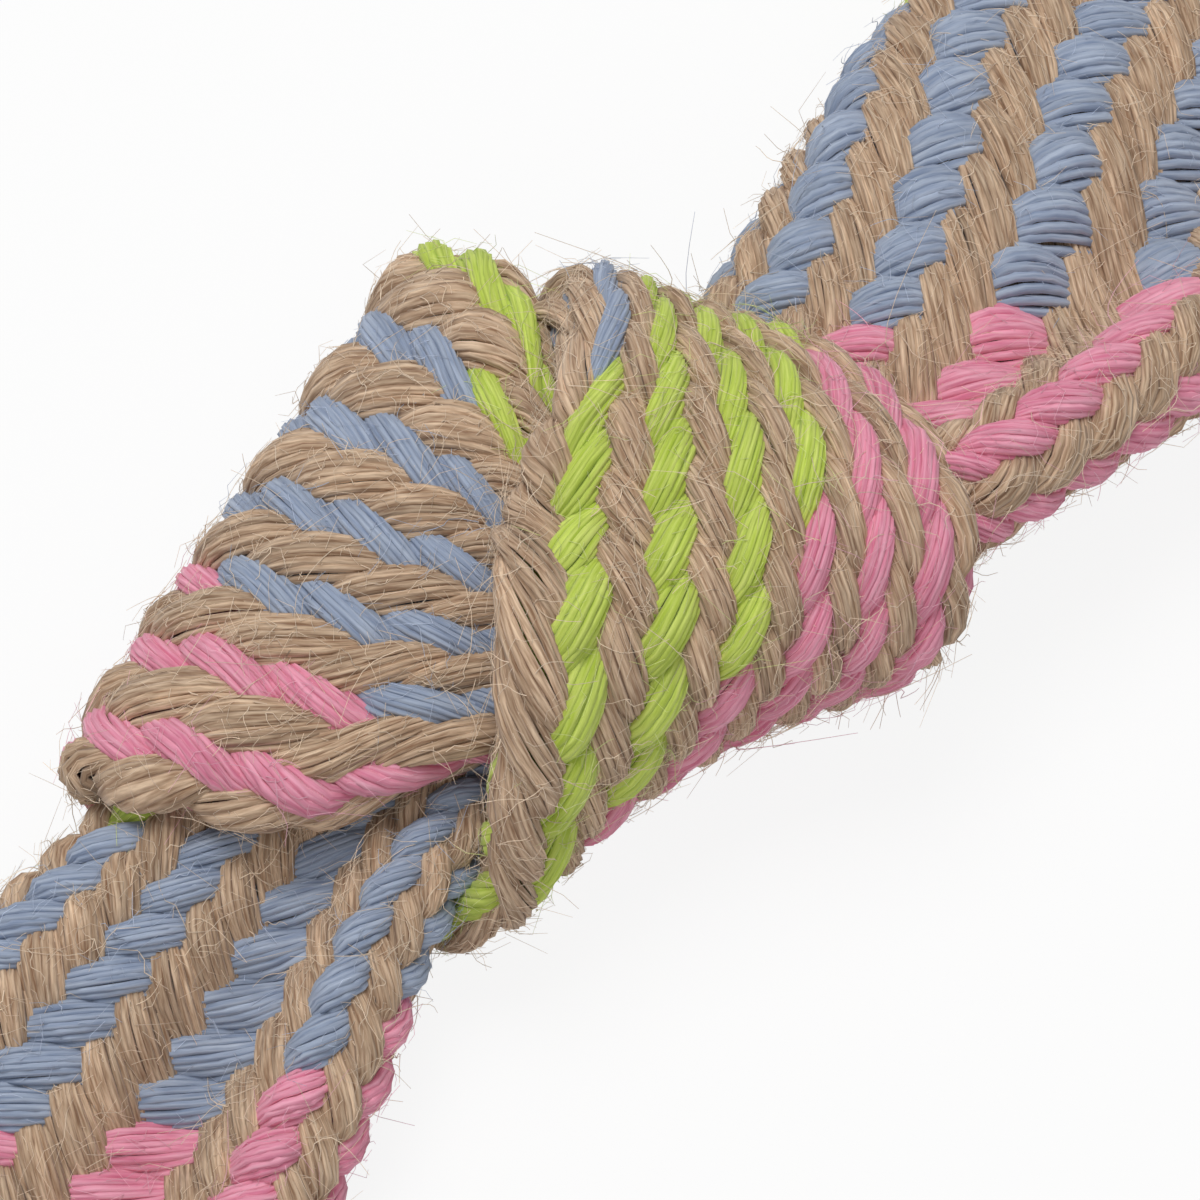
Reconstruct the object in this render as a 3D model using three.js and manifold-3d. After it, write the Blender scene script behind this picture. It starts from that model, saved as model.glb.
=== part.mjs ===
// A rope toy for dogs: one flat, hollow-braided rope with an overhand knot near each end,
// a bound tail past each knot and a frayed tassel at each tip. It lies on a table, along X.
// The half at -X is drawn once, and the half at +X is the same half turned about Z.

import * as THREE from "three";
import { mergeVertices } from "three/addons/utils/BufferGeometryUtils.js";
import Module from "manifold-3d";

const wasm = await Module();
wasm.setup();

// Driving sizes, in millimetres
const ROPE_WIDTH = 48; // the flat rope where nothing pinches it
const ROPE_THICK = 13;
const PASS_GAP = 0.3; // between passes of rope that press on each other
const KNUCKLE_GAP = 0.8; // between the round end and the hollow end at a bend
const TWINE = 2; // thickness of the hemp twine of a whipping
const TWINE_GAP = 0.5; // between neighbouring turns of twine
const TWINE_TURNS = 5;
const TASSEL_LENGTH = 50;
const TASSEL_TIP_WIDTH = 54;
const TASSEL_HEMP_SHARE = 0.5; // of the tassel's thickness, the rest is the dyed cotton on top
const TASSEL_DROOP = 1.6; // how far the tassel's middle comes down at its tip
const TABLE_LENGTH = 900; // the table that the toy lies on presses it flat below
const TABLE_WIDTH = 400;
const TABLE_DEPTH = 60;

// Steps of the faceted forms
const EDGE_STEPS = 4; // along each round edge of the rope's section
const FACE_STEPS = 3; // across each flat face of it
const STEPS_PER_STATION = 2;
const KNUCKLE_SIDES = 28;
const TWINE_LOOP_STEPS = 24;
const TWINE_SIDES = 6;
const TASSEL_RINGS = 5;

// Materials
const HEMP = { color: 0xb6987d, roughness: 0.95, metalness: 0 };
const BLUE = { color: 0x8798bc, roughness: 0.9, metalness: 0 };
const GREEN = { color: 0xb2cd46, roughness: 0.9, metalness: 0 };
const PINK = { color: 0xde7d9b, roughness: 0.9, metalness: 0 };

// The rope's route from the middle of the toy to the tip at -X. Each station has the centre, the way
// that the rope's outer face looks, its width and thickness as shares of the free rope's, and its
// cupping: one over the radius to which the section is bent across its width.
const ROUTE = [
  { at: [17, 0, 7], face: [0, 0, 1], wide: 1, thick: 1, cup: 0 },
  { at: [0, 0, 7], face: [0, 0, 1], wide: 1, thick: 1, cup: 0 },
  { at: [-17, 0, 7], face: [0, 0, 1], wide: 1, thick: 1, cup: 0 },
  { at: [-33, 0, 7], face: [0, 0, 1], wide: 1, thick: 1, cup: 0 },
  { at: [-49.5, 0, 11], face: [0.2, 0, 1], wide: 0.98, thick: 1.04, cup: 0 },
  { at: [-62, 0, 14], face: [0.15, 0.12, 1], wide: 0.94, thick: 1.06, cup: -0.006 },
  { at: [-84.5, 1.5, 16.8], face: [0, 0.27, 0.96], wide: 0.75, thick: 1, cup: -0.014 },
  { at: [-98.5, 3.5, 18.3], face: [0, 0.1, 1], wide: 0.54, thick: 0.77, cup: 0 },
  { at: [-107.5, 9, 19.3], face: [0, 0, 1], wide: 0.52, thick: 0.7, cup: 0 },
  { at: [-112.5, 16, 20.8], face: [0, 0, 1], wide: 0.78, thick: 0.65, cup: 0.006 },
  { at: [-116, 24.5, 20.8], face: [0, 0.1, 1], wide: 1.12, thick: 0.65, cup: 0.007 },
  { at: [-119.2, 33.5, 18], face: [-0.1, 0.7, 0.7], wide: 1.22, thick: 0.62, cup: 0.005 },
  { at: [-120.9, 36.5, 12], face: [-0.1, 1, 0], wide: 1.24, thick: 0.62, cup: 0.005 },
  { at: [-122.2, 33.5, 6], face: [-0.1, 0.7, -0.7], wide: 1.14, thick: 0.62, cup: 0.003 },
  { at: [-122.8, 24.5, 3.6], face: [0, 0, -1], wide: 1, thick: 0.62, cup: 0 },
  { at: [-121.4, 13, 3.6], face: [0, 0, -1], wide: 0.88, thick: 0.62, cup: 0 },
  { at: [-117.9, 2, 7.8], face: [-0.27, -0.64, -0.7], wide: 0.84, thick: 0.62, cup: 0 },
  { at: [-114, -2.2, 16.8], face: [-0.4, -0.92, 0], wide: 0.84, thick: 0.62, cup: 0 },
  { at: [-108.5, -2.3, 25.2], face: [-0.3, -0.6, 0.7], wide: 0.84, thick: 0.62, cup: 0.008 },
  { at: [-101.4, 1.7, 28.8], face: [-0.05, -0.1, 1], wide: 0.82, thick: 0.62, cup: 0.018 },
  { at: [-95, 8.3, 27.6], face: [0.27, -0.11, 0.95], wide: 0.68, thick: 0.69, cup: 0.018 },
  { at: [-91.5, 15.5, 24], face: [0.72, 0.01, 0.7], wide: 0.46, thick: 0.77, cup: 0.008 },
  { at: [-91, 20.4, 18.3], face: [0.98, 0.23, 0], wide: 0.38, thick: 0.77, cup: 0 },
  { at: [-95.2, 21.3, 13.3], face: [0.65, 0.24, -0.7], wide: 0.44, thick: 0.77, cup: 0 },
  { at: [-103, 19.5, 11.3], face: [0, 0, -1], wide: 0.62, thick: 0.69, cup: 0 },
  { at: [-120, 18, 11.6], face: [0, 0, -1], wide: 0.62, thick: 0.65, cup: 0 },
  { at: [-132.5, 17.5, 11.6], face: [0, 0, -1], wide: 0.58, thick: 0.69, cup: 0.02 },
  { at: [-144, 17, 11.3], face: [0, 0, -1], wide: 0.63, thick: 0.85, cup: 0.03 },
  { at: [-156, 16, 9.8], face: [0, 0, -1], wide: 0.75, thick: 1, cup: 0.022 },
  { at: [-170, 15.5, 7.6], face: [0, 0, -1], wide: 0.88, thick: 1, cup: 0.008 },
  { at: [-180, 15.5, 6.8], face: [0, 0, -1], wide: 0.94, thick: 1, cup: 0 },
  { at: [-195, 15.5, 7.2], face: [0, 0, -1], wide: 0.92, thick: 1, cup: 0 },
  { at: [-208, 15.5, 8.8], face: [0, 0, -1], wide: 0.71, thick: 1, cup: 0 },
  { at: [-224, 15.5, 9], face: [0, 0, -1], wide: 0.71, thick: 1, cup: 0 },
  { at: [-240, 15.5, 9], face: [0, 0, -1], wide: 0.71, thick: 1, cup: 0 },
];

// Stations where one stretch of rope ends and the next begins
const TWIST_STATION = 0;
const MIDDLE_STATION = 2;
const ENTRY_STATION = 4;
const UNDER_WRAP_STATION = 8;
const SIDE_FOLD_STATION = 12;
const LOW_FOLD_STATION = 17;
const TOP_FOLD_STATION = 22;
const TAIL_STATION = 30;
const WHIPPING_STATION = 32;
const TASSEL_STATION = 33;

const LAST_STATION = ROUTE.length - 1;
const curveThrough = (vectors) => new THREE.CatmullRomCurve3(vectors, false, "catmullrom", 0.5);
const routeCurve = curveThrough(ROUTE.map((row) => new THREE.Vector3(...row.at)));
const faceCurve = curveThrough(ROUTE.map((row) => new THREE.Vector3(...row.face)));
const sizeCurve = curveThrough(ROUTE.map((row) => new THREE.Vector3(row.wide, row.thick, row.cup)));

// Where the rope is at a station (a whole or a broken number) and which way it runs and faces there.
function ropeAt(station) {
  const share = station / LAST_STATION;
  const size = sizeCurve.getPoint(share);
  const along = routeCurve.getTangent(share);
  const face = faceCurve.getPoint(share);
  face.addScaledVector(along, -face.dot(along)).normalize();
  return {
    at: routeCurve.getPoint(share),
    along,
    face,
    right: new THREE.Vector3().crossVectors(along, face),
    wide: size.x * ROPE_WIDTH,
    thick: size.y * ROPE_THICK,
    cup: size.z,
  };
}

// The outline of the rope's section: two flat faces and two round edges, then bent across its width.
function ropeSection(wide, thick, cup) {
  const flat = wide - thick;
  const radius = thick / 2;
  const points = [];
  for (const side of [1, -1]) {
    for (let k = 0; k <= EDGE_STEPS; k++) {
      const angle = Math.PI * (k / EDGE_STEPS - 0.5);
      points.push([side * (flat / 2 + radius * Math.cos(angle)), side * radius * Math.sin(angle)]);
    }
    for (let k = 1; k < FACE_STEPS; k++) {
      points.push([side * flat * (0.5 - k / FACE_STEPS), side * radius]);
    }
  }
  if (cup === 0) return points;
  return points.map(([p, q]) => [
    Math.sin(cup * p) / cup + q * Math.sin(cup * p),
    (Math.cos(cup * p) - 1) / cup + q * Math.cos(cup * p),
  ]);
}

// A closed body through rings of points, each ring listed the same way round.
function loft(rings) {
  const sides = rings[0].length;
  const positions = [];
  const triangles = [];
  const capCentre = (ring) => ring.reduce((sum, v) => sum.add(v), new THREE.Vector3()).divideScalar(sides);
  for (const ring of rings) ring.forEach((v) => positions.push(v.x, v.y, v.z));
  for (let k = 0; k + 1 < rings.length; k++) {
    for (let i = 0; i < sides; i++) {
      const a = k * sides + i;
      const b = k * sides + ((i + 1) % sides);
      triangles.push(a, a + sides, b, b, a + sides, b + sides);
    }
  }
  const first = positions.length / 3;
  const last = first + 1;
  const lastRing = (rings.length - 1) * sides;
  for (const ring of [rings[0], rings.at(-1)]) {
    const v = capCentre(ring);
    positions.push(v.x, v.y, v.z);
  }
  for (let i = 0; i < sides; i++) {
    const next = (i + 1) % sides;
    triangles.push(first, i, next, last, lastRing + next, lastRing + i);
  }
  return solidFrom(new Float32Array(positions), new Uint32Array(triangles));
}

function solidFrom(vertProperties, triVerts) {
  return new wasm.Manifold(new wasm.Mesh({ numProp: 3, vertProperties, triVerts }));
}

function solidOf(geometry, matrix) {
  geometry.deleteAttribute("normal");
  geometry.deleteAttribute("uv");
  const merged = mergeVertices(geometry.applyMatrix4(matrix));
  return solidFrom(merged.attributes.position.array, new Uint32Array(merged.index.array));
}

// A stretch of rope between two stations, made larger all round by grow.
function rope(from, to, grow = 0) {
  const steps = Math.max(1, Math.ceil((to - from) * STEPS_PER_STATION));
  const rings = [];
  for (let k = 0; k <= steps; k++) {
    const { at, face, right, wide, thick, cup } = ropeAt(from + ((to - from) * k) / steps);
    const ring = ropeSection(wide + 2 * grow, thick + 2 * grow, cup);
    rings.push(ring.map(([p, q]) => at.clone().addScaledVector(right, p).addScaledVector(face, q)));
  }
  return loft(rings);
}

// Half the gap between two stretches that meet end to end, as a share of a station.
function halfGap(station) {
  const step = 0.01;
  const length = routeCurve.getPoint(station / LAST_STATION).distanceTo(
    routeCurve.getPoint((station + step) / LAST_STATION),
  );
  return ((PASS_GAP / 2) * step) / length;
}

// The pin-shaped space round a bend's axis, which lies across the rope, along Y.
function bendCylinder(station, gap) {
  const { at, wide, thick } = ropeAt(station);
  const radius = thick / 2 + gap;
  const cylinder = new THREE.CylinderGeometry(radius, radius, wide * 2, KNUCKLE_SIDES);
  return solidOf(cylinder, new THREE.Matrix4().makeTranslation(at));
}

// The rope from one bend to the next one out, with a round end at each. With flatGap the inner end is
// flat instead, and stops short by that share of a station.
function ropeBetweenBends(from, to, flatGap = 0) {
  const inner = ropeAt(from).at;
  const outer = ropeAt(to).at;
  const box = new THREE.BoxGeometry(inner.x - outer.x, 4 * ROPE_WIDTH, 8 * ROPE_THICK);
  const middle = inner.clone().add(outer).divideScalar(2);
  let span = solidOf(box, new THREE.Matrix4().makeTranslation(middle)).add(bendCylinder(to, 0));
  if (flatGap === 0) span = span.add(bendCylinder(from, 0));
  return rope(flatGap === 0 ? from - 1 : from + flatGap, to + 1).intersect(span);
}

const table = solidOf(
  new THREE.BoxGeometry(TABLE_LENGTH, TABLE_WIDTH, TABLE_DEPTH),
  new THREE.Matrix4().makeTranslation(0, 0, -TABLE_DEPTH / 2),
);

// The largest body that a cut leaves: crumbs at its edge are dropped.
function mainBody(solid) {
  const bodies = solid.decompose();
  return bodies.reduce((best, body) => (body.volume() > best.volume() ? body : best));
}

function mesh(name, solid, look) {
  const { vertProperties, triVerts } = mainBody(solid.subtract(table)).getMesh();
  const geometry = new THREE.BufferGeometry();
  geometry.setAttribute("position", new THREE.BufferAttribute(new Float32Array(vertProperties), 3));
  geometry.setIndex(new THREE.BufferAttribute(new Uint32Array(triVerts), 1));
  geometry.computeVertexNormals();
  const made = new THREE.Mesh(geometry, new THREE.MeshStandardMaterial(look));
  made.name = name;
  return made;
}

// The five passes of a knot, from the middle rope to the tail. The wrap in front keeps its shape, and
// each pass that lies under another is pressed in by it.
function knotPasses(end) {
  const limits = {
    front_wrap: [LOW_FOLD_STATION, TOP_FOLD_STATION],
    side_turn: [UNDER_WRAP_STATION, SIDE_FOLD_STATION],
    entry: [ENTRY_STATION, UNDER_WRAP_STATION],
    tuck: [TOP_FOLD_STATION, TAIL_STATION],
    back_pass: [SIDE_FOLD_STATION, LOW_FOLD_STATION],
  };
  const made = [];
  for (const [pass, [from, to]] of Object.entries(limits)) {
    const startGap = from === ENTRY_STATION ? 0 : halfGap(from);
    const endGap = to === TAIL_STATION ? 0 : halfGap(to);
    let solid = rope(from + startGap, to - endGap);
    if (pass === "entry") solid = solid.subtract(bendCylinder(from, KNUCKLE_GAP));
    if (pass === "tuck") solid = solid.subtract(bendCylinder(to, KNUCKLE_GAP));
    for (const other of made) {
      const runsOn = other.from === to || other.to === from;
      if (!runsOn) solid = solid.subtract(rope(other.from, other.to, PASS_GAP));
      solid = solid.subtract(other.solid);
    }
    made.push({ pass, from, to, solid });
  }
  return made.map(({ pass, solid }) => mesh(`knot_${end}_${pass}`, solid, HEMP));
}

// The rope between a knot and the middle: its inner end bends, or turns flat against the middle.
function strap(end, innerBends) {
  const flatGap = innerBends ? 0 : halfGap(MIDDLE_STATION);
  return mesh(`strap_${end}`, ropeBetweenBends(MIDDLE_STATION, ENTRY_STATION, flatGap), HEMP);
}

function middleStrap() {
  const solid = rope(TWIST_STATION + halfGap(TWIST_STATION), MIDDLE_STATION);
  return mesh("strap_middle", solid.subtract(bendCylinder(MIDDLE_STATION, KNUCKLE_GAP)), HEMP);
}

function tail(end) {
  return mesh(`tail_${end}`, ropeBetweenBends(TAIL_STATION, TASSEL_STATION), HEMP);
}

// The whipping: one length of twine wound round the end of the tail, turn beside turn. It stops short of
// the tassel, which bends close to it.
function whipping(end) {
  const { wide, thick } = ropeAt(WHIPPING_STATION);
  const stationLength = ropeAt(WHIPPING_STATION).at.distanceTo(ropeAt(TASSEL_STATION).at);
  const pitch = (TWINE + TWINE_GAP) / stationLength;
  const stand = PASS_GAP + TWINE / 2;
  const flat = wide - thick;
  const radius = thick / 2 + stand;
  const loop = 2 * flat + 2 * Math.PI * radius;
  const aroundTail = (share) => {
    let d = (((share % 1) + 1) % 1) * loop;
    if (d < flat) return [flat / 2 - d, -radius];
    d -= flat;
    if (d < Math.PI * radius) {
      const angle = d / radius;
      return [-flat / 2 - radius * Math.sin(angle), -radius * Math.cos(angle)];
    }
    d -= Math.PI * radius;
    if (d < flat) return [-flat / 2 + d, radius];
    const angle = (d - flat) / radius;
    return [flat / 2 + radius * Math.sin(angle), radius * Math.cos(angle)];
  };
  const points = [];
  const count = TWINE_TURNS * TWINE_LOOP_STEPS;
  for (let k = 0; k <= count; k++) {
    const turns = k / TWINE_LOOP_STEPS;
    const [y, z] = aroundTail(turns);
    const { at } = ropeAt(WHIPPING_STATION + pitch * turns);
    points.push(at.add(new THREE.Vector3(0, y, z)));
  }
  let least = Infinity;
  points.forEach((a, i) => {
    points.slice(i + TWINE_LOOP_STEPS / 2).forEach((b) => {
      least = Math.min(least, a.distanceTo(b) - TWINE);
    });
  });
  console.log(`whipping_${end}: least gap between turns ${least.toFixed(2)} mm`);
  const rings = points.map((v, k) => {
    const before = points[Math.max(k - 1, 0)];
    const after = points[Math.min(k + 1, count)];
    const along = after.clone().sub(before).normalize();
    const across = new THREE.Vector3(1, 0, 0).addScaledVector(along, -along.x).normalize();
    const out = new THREE.Vector3().crossVectors(along, across);
    return Array.from({ length: TWINE_SIDES }, (_, i) => {
      const angle = (-2 * Math.PI * i) / TWINE_SIDES;
      return v
        .clone()
        .addScaledVector(across, (TWINE / 2) * Math.cos(angle))
        .addScaledVector(out, (TWINE / 2) * Math.sin(angle));
    });
  });
  return mesh(`whipping_${end}`, loft(rings), HEMP);
}

// The tassel: loose hemp below, and three locks of dyed cotton side by side on top of it.
function tassel(end) {
  const { at, wide, thick } = ropeAt(TASSEL_STATION);
  const hempThick = thick * TASSEL_HEMP_SHARE;
  const split = hempThick - thick / 2;
  const lock = (leftShare, rightShare, low, high) => {
    const rings = [];
    for (let k = 0; k <= TASSEL_RINGS; k++) {
      const t = k / TASSEL_RINGS;
      const width = wide + (TASSEL_TIP_WIDTH - wide) * t;
      const left = (leftShare - 0.5) * width + PASS_GAP / 2;
      const right = (rightShare - 0.5) * width - PASS_GAP / 2;
      const soft = (high - low) * 0.25;
      const outline = [
        [left, low + soft],
        [left + soft, low],
        [right - soft, low],
        [right, low + soft],
        [right, high - soft],
        [right - soft, high],
        [left + soft, high],
        [left, high - soft],
      ];
      const centre = new THREE.Vector3(at.x - TASSEL_LENGTH * t, at.y, at.z - TASSEL_DROOP * t * t);
      rings.push(outline.map(([y, z]) => centre.clone().add(new THREE.Vector3(0, y, z))));
    }
    return loft(rings).subtract(bendCylinder(TASSEL_STATION, KNUCKLE_GAP));
  };
  const cotton = { blue: BLUE, green: GREEN, pink: PINK };
  const meshes = [mesh(`tassel_${end}_hemp`, lock(0, 1, -thick / 2, split - PASS_GAP / 2), HEMP)];
  Object.entries(cotton).forEach(([colour, look], k) => {
    const solid = lock(k / 3, (k + 1) / 3, split + PASS_GAP / 2, thick / 2);
    meshes.push(mesh(`tassel_${end}_${colour}`, solid, look));
  });
  return meshes;
}

function half(end, innerBends) {
  const group = new THREE.Group();
  group.add(strap(end, innerBends), ...knotPasses(end), tail(end), whipping(end), ...tassel(end));
  return group;
}

const ropeToy = new THREE.Group();
const farHalf = half("b", false);
farHalf.rotation.z = Math.PI;
ropeToy.add(half("a", true), middleStrap(), farHalf);

export default ropeToy;
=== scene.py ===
# %% [markdown]
# # A rope toy for dogs, strand by strand
#
# The toy is one flat, hollow braid of hemp and dyed cotton with an overhand knot near each end.
# This lesson braids it in Blender: the rope's route comes first, then the braid as a surface, then
# every yarn of every strand as a small tube. The solids of the frame stay hidden underneath.

import bpy
import numpy as np
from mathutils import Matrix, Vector


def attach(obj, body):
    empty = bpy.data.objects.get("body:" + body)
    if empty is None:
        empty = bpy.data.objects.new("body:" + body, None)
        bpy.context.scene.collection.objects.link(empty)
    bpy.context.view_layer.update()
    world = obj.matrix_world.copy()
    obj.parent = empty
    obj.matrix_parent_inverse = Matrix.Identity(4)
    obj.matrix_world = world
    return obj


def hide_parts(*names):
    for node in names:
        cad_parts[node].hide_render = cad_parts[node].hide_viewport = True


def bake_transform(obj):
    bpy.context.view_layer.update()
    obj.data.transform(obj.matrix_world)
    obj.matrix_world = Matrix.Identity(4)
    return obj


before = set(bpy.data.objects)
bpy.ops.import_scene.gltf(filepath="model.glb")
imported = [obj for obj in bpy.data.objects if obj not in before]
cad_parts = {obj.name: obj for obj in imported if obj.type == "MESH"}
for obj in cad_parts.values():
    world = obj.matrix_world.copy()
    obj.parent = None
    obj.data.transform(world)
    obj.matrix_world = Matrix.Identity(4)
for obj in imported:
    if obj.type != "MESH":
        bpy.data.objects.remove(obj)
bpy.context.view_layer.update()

# %% [markdown]
# ## Sizes of the braid
#
# 24 strands of hemp go round the rope one way and 24 strands of cotton the other way, and each goes over
# two and under two of the others. A strand is a bundle of yarns that lie side by side. All sizes are in
# metres, as everywhere in Blender, and the later cells take them from here.

# %% Sizes of the braid
ROPE_WIDTH = 0.048
ROPE_THICK = 0.013
STRANDS = 24              # each way round
YARNS = 8                 # side by side in a strand
STRAND_SHARE = 0.92       # of a strand's room round the rope, from its first yarn to its last
RISE = 0.0012             # how far a strand rises over the others, and how far it sinks under them
ARCH = 0.0011             # how far the outer yarns of a strand lie below its middle ones
SKIN = 0.0013             # from the rope's outline in to the middle of the braid
YARN_HEIGHT = 0.00045     # half the height of a yarn
YARN_OVERLAP = 1.75       # a yarn's width over the room it has, so that neighbours press together
YARN_SIDES = 5
RING_STEP = 0.0013        # along a yarn
print("yarns in the braid", 2 * STRANDS * YARNS)

# %% [markdown]
# ## The rope's route
#
# A rope could be drawn as a Blender curve, but a flat rope also needs to know which way its face looks, how
# wide it is pressed and how far it is cupped across its width. So the route is a table of stations from the
# middle of the toy to the tip at -X, the same ones as in the part's source. The other half is the same half
# turned about Z.

# %% The rope's route
# centre | face | width and thickness, as shares | cupping, 1/m
ROUTE = np.array([
    (0.0000, 0.0000, 0.0070, 0, 0, 1, 1.00, 1.00, 0),
    (-0.0170, 0.0000, 0.0070, 0, 0, 1, 1.00, 1.00, 0),
    (-0.0330, 0.0000, 0.0070, 0, 0, 1, 1.00, 1.00, 0),
    (-0.0495, 0.0000, 0.0110, 0.2, 0, 1, 0.98, 1.04, 0),
    (-0.0620, 0.0000, 0.0140, 0.15, 0.12, 1, 0.94, 1.06, -6),
    (-0.0845, 0.0015, 0.0168, 0, 0.27, 0.96, 0.75, 1.00, -14),
    (-0.0985, 0.0035, 0.0183, 0, 0.1, 1, 0.54, 0.77, 0),
    (-0.1075, 0.0090, 0.0193, 0, 0, 1, 0.52, 0.70, 0),
    (-0.1125, 0.0160, 0.0208, 0, 0, 1, 0.78, 0.65, 6),
    (-0.1160, 0.0245, 0.0208, 0, 0.1, 1, 1.12, 0.65, 7),
    (-0.1192, 0.0335, 0.0180, -0.1, 0.7, 0.7, 1.22, 0.62, 5),
    (-0.1209, 0.0365, 0.0120, -0.1, 1, 0, 1.24, 0.62, 5),
    (-0.1222, 0.0335, 0.0060, -0.1, 0.7, -0.7, 1.14, 0.62, 3),
    (-0.1228, 0.0245, 0.0036, 0, 0, -1, 1.00, 0.62, 0),
    (-0.1214, 0.0130, 0.0036, 0, 0, -1, 0.88, 0.62, 0),
    (-0.1179, 0.0020, 0.0078, -0.27, -0.64, -0.7, 0.84, 0.62, 0),
    (-0.1140, -0.0022, 0.0168, -0.4, -0.92, 0, 0.84, 0.62, 0),
    (-0.1085, -0.0023, 0.0252, -0.3, -0.6, 0.7, 0.84, 0.62, 8),
    (-0.1014, 0.0017, 0.0288, -0.05, -0.1, 1, 0.82, 0.62, 18),
    (-0.0950, 0.0083, 0.0276, 0.27, -0.11, 0.95, 0.68, 0.69, 18),
    (-0.0915, 0.0155, 0.0240, 0.72, 0.01, 0.7, 0.46, 0.77, 8),
    (-0.0910, 0.0204, 0.0183, 0.98, 0.23, 0, 0.38, 0.77, 0),
    (-0.0952, 0.0213, 0.0133, 0.65, 0.24, -0.7, 0.44, 0.77, 0),
    (-0.1030, 0.0195, 0.0113, 0, 0, -1, 0.62, 0.69, 0),
    (-0.1200, 0.0180, 0.0116, 0, 0, -1, 0.62, 0.65, 0),
    (-0.1325, 0.0175, 0.0116, 0, 0, -1, 0.58, 0.69, 20),
    (-0.1440, 0.0170, 0.0113, 0, 0, -1, 0.63, 0.85, 30),
    (-0.1560, 0.0160, 0.0098, 0, 0, -1, 0.75, 1.00, 22),
    (-0.1700, 0.0155, 0.0076, 0, 0, -1, 0.88, 1.00, 8),
    (-0.1800, 0.0155, 0.0068, 0, 0, -1, 0.94, 1.00, 0),
    (-0.1950, 0.0155, 0.0072, 0, 0, -1, 0.92, 1.00, 0),
    (-0.2080, 0.0155, 0.0088, 0, 0, -1, 0.71, 1.00, 0),
    (-0.2240, 0.0155, 0.0090, 0, 0, -1, 0.71, 1.00, 0),
    (-0.2400, 0.0155, 0.0090, 0, 0, -1, 0.71, 1.00, 0),
])
MIDDLE, BEND, STRAP, ENTRY = 0, 1, 2, 3
UNDER_WRAP, LOW_FOLD, TUCK, TAIL_BEND, TAIL, WHIPPING, TASSEL = 6, 16, 25, 29, 30, 31, 32
print("stations", len(ROUTE), "of which the knot has", TAIL_BEND - ENTRY)

# %% [markdown]
# ## How the braid lies on the rope
#
# At each station the braid has a count of crossings so far and a turn about the rope, in strands. In a knot
# the strands also crowd to the face or lean to an edge, as shares of the way round. In the side turn the hemp
# is pulled over the cotton, and along the left edge of the front wrap it covers it like a hem. Next to a knot
# the hollow rope sinks into a valley. All of this was chosen one by one, until the colours and folds fell
# where the photograph has them.

# %% How the braid lies on the rope
# count | turn | crowding | leaning | how far the hemp covers the cotton, everywhere and at the left edge
BRAID = np.array([
    (-14.6, 1.5, 0, 0, 0, 0),
    (-11.2, 1.5, 0, 0, 0, 0),
    (-8.1, 1.3, -0.03, 0, 0, 0),
    (-4.8, 0.5, -0.06, 0, 0, 0),
    (-2.4, -0.6, -0.07, 0, 0, 0),
    (1.8, -1.6, -0.06, 0, 0, 0),
    (4.3, 2.2, -0.01, 0, 0, 0),
    (6.1, 6, 0.02, -0.01, 0.15, 0),
    (7.6, 8.8, 0.03, -0.02, 0.2, 0),
    (9, 9.6, 0.03, -0.02, 0.25, 0),
    (10.4, 10.1, 0.03, -0.02, 0.3, 0),
    (11.5, 10.3, 0.03, -0.02, 0.28, 0),
    (12.7, 10.4, 0, -0.01, 0.1, 0),
    (14.2, 10.1, 0, 0, 0, 0),
    (16, 9.5, 0, 0, 0, 0),
    (17.7, 9.1, 0.01, 0.02, 0, 0.5),
    (19.5, 9, 0.02, 0.03, 0, 0.9),
    (21.2, 9, 0.03, 0.035, 0, 1.2),
    (22.8, 8.9, 0.035, 0.035, 0, 1.2),
    (24.2, 8.9, 0.03, 0.035, 0, 1.1),
    (25.6, 9.3, 0.02, 0.03, 0, 1),
    (26.7, 10, 0, 0.02, 0, 0.9),
    (27.9, 11, 0, 0, 0, 0.4),
    (29.6, 12.2, 0, 0, 0, 0),
    (33, 13.5, 0.02, 0, 0, 0),
    (35.6, 14.6, 0.05, 0, 0, 0),
    (38, 15, 0.08, 0, 0, 0),
    (40.6, 15, 0.085, 0, 0, 0),
    (43.7, 15, 0.075, 0, 0, 0),
    (45.9, 15, 0.05, 0, 0, 0),
    (49.3, 15, 0.02, 0, 0, 0),
    (52.2, 15, 0, 0, 0, 0),
    (55.7, 15, 0, 0, 0, 0),
    (59.2, 15, 0, 0, 0, 0),
])
# station | depth of the valley | where it lies, as a share of the way round
VALLEYS = np.array([
    (MIDDLE, 0, 0.25),
    (BEND, 0.0012, 0.22),
    (STRAP, 0.0038, 0.18),
    (ENTRY, 0.0056, 0.16),
    (ENTRY + 1, 0.006, 0.16),
    (ENTRY + 2, 0.003, 0.17),
    (UNDER_WRAP, 0, 0.17),
    (TUCK, 0, 0.67),
    (TUCK + 1, 0.004, 0.69),
    (TUCK + 2, 0.0062, 0.69),
    (TUCK + 3, 0.0055, 0.69),
    (TAIL_BEND, 0.0035, 0.7),
    (WHIPPING, 0, 0.75),
])
print("crossings in half of the toy", round(np.ptp(BRAID[:, 0]), 1), "deepest valley", VALLEYS[:, 1].max())

# %% [markdown]
# ## Both halves
#
# The tables are set side by side and named by column. Half a turn about Z gives the other half: it changes
# the sign of some columns, and those that count along or round the rope go on from their value in the middle.

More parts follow.
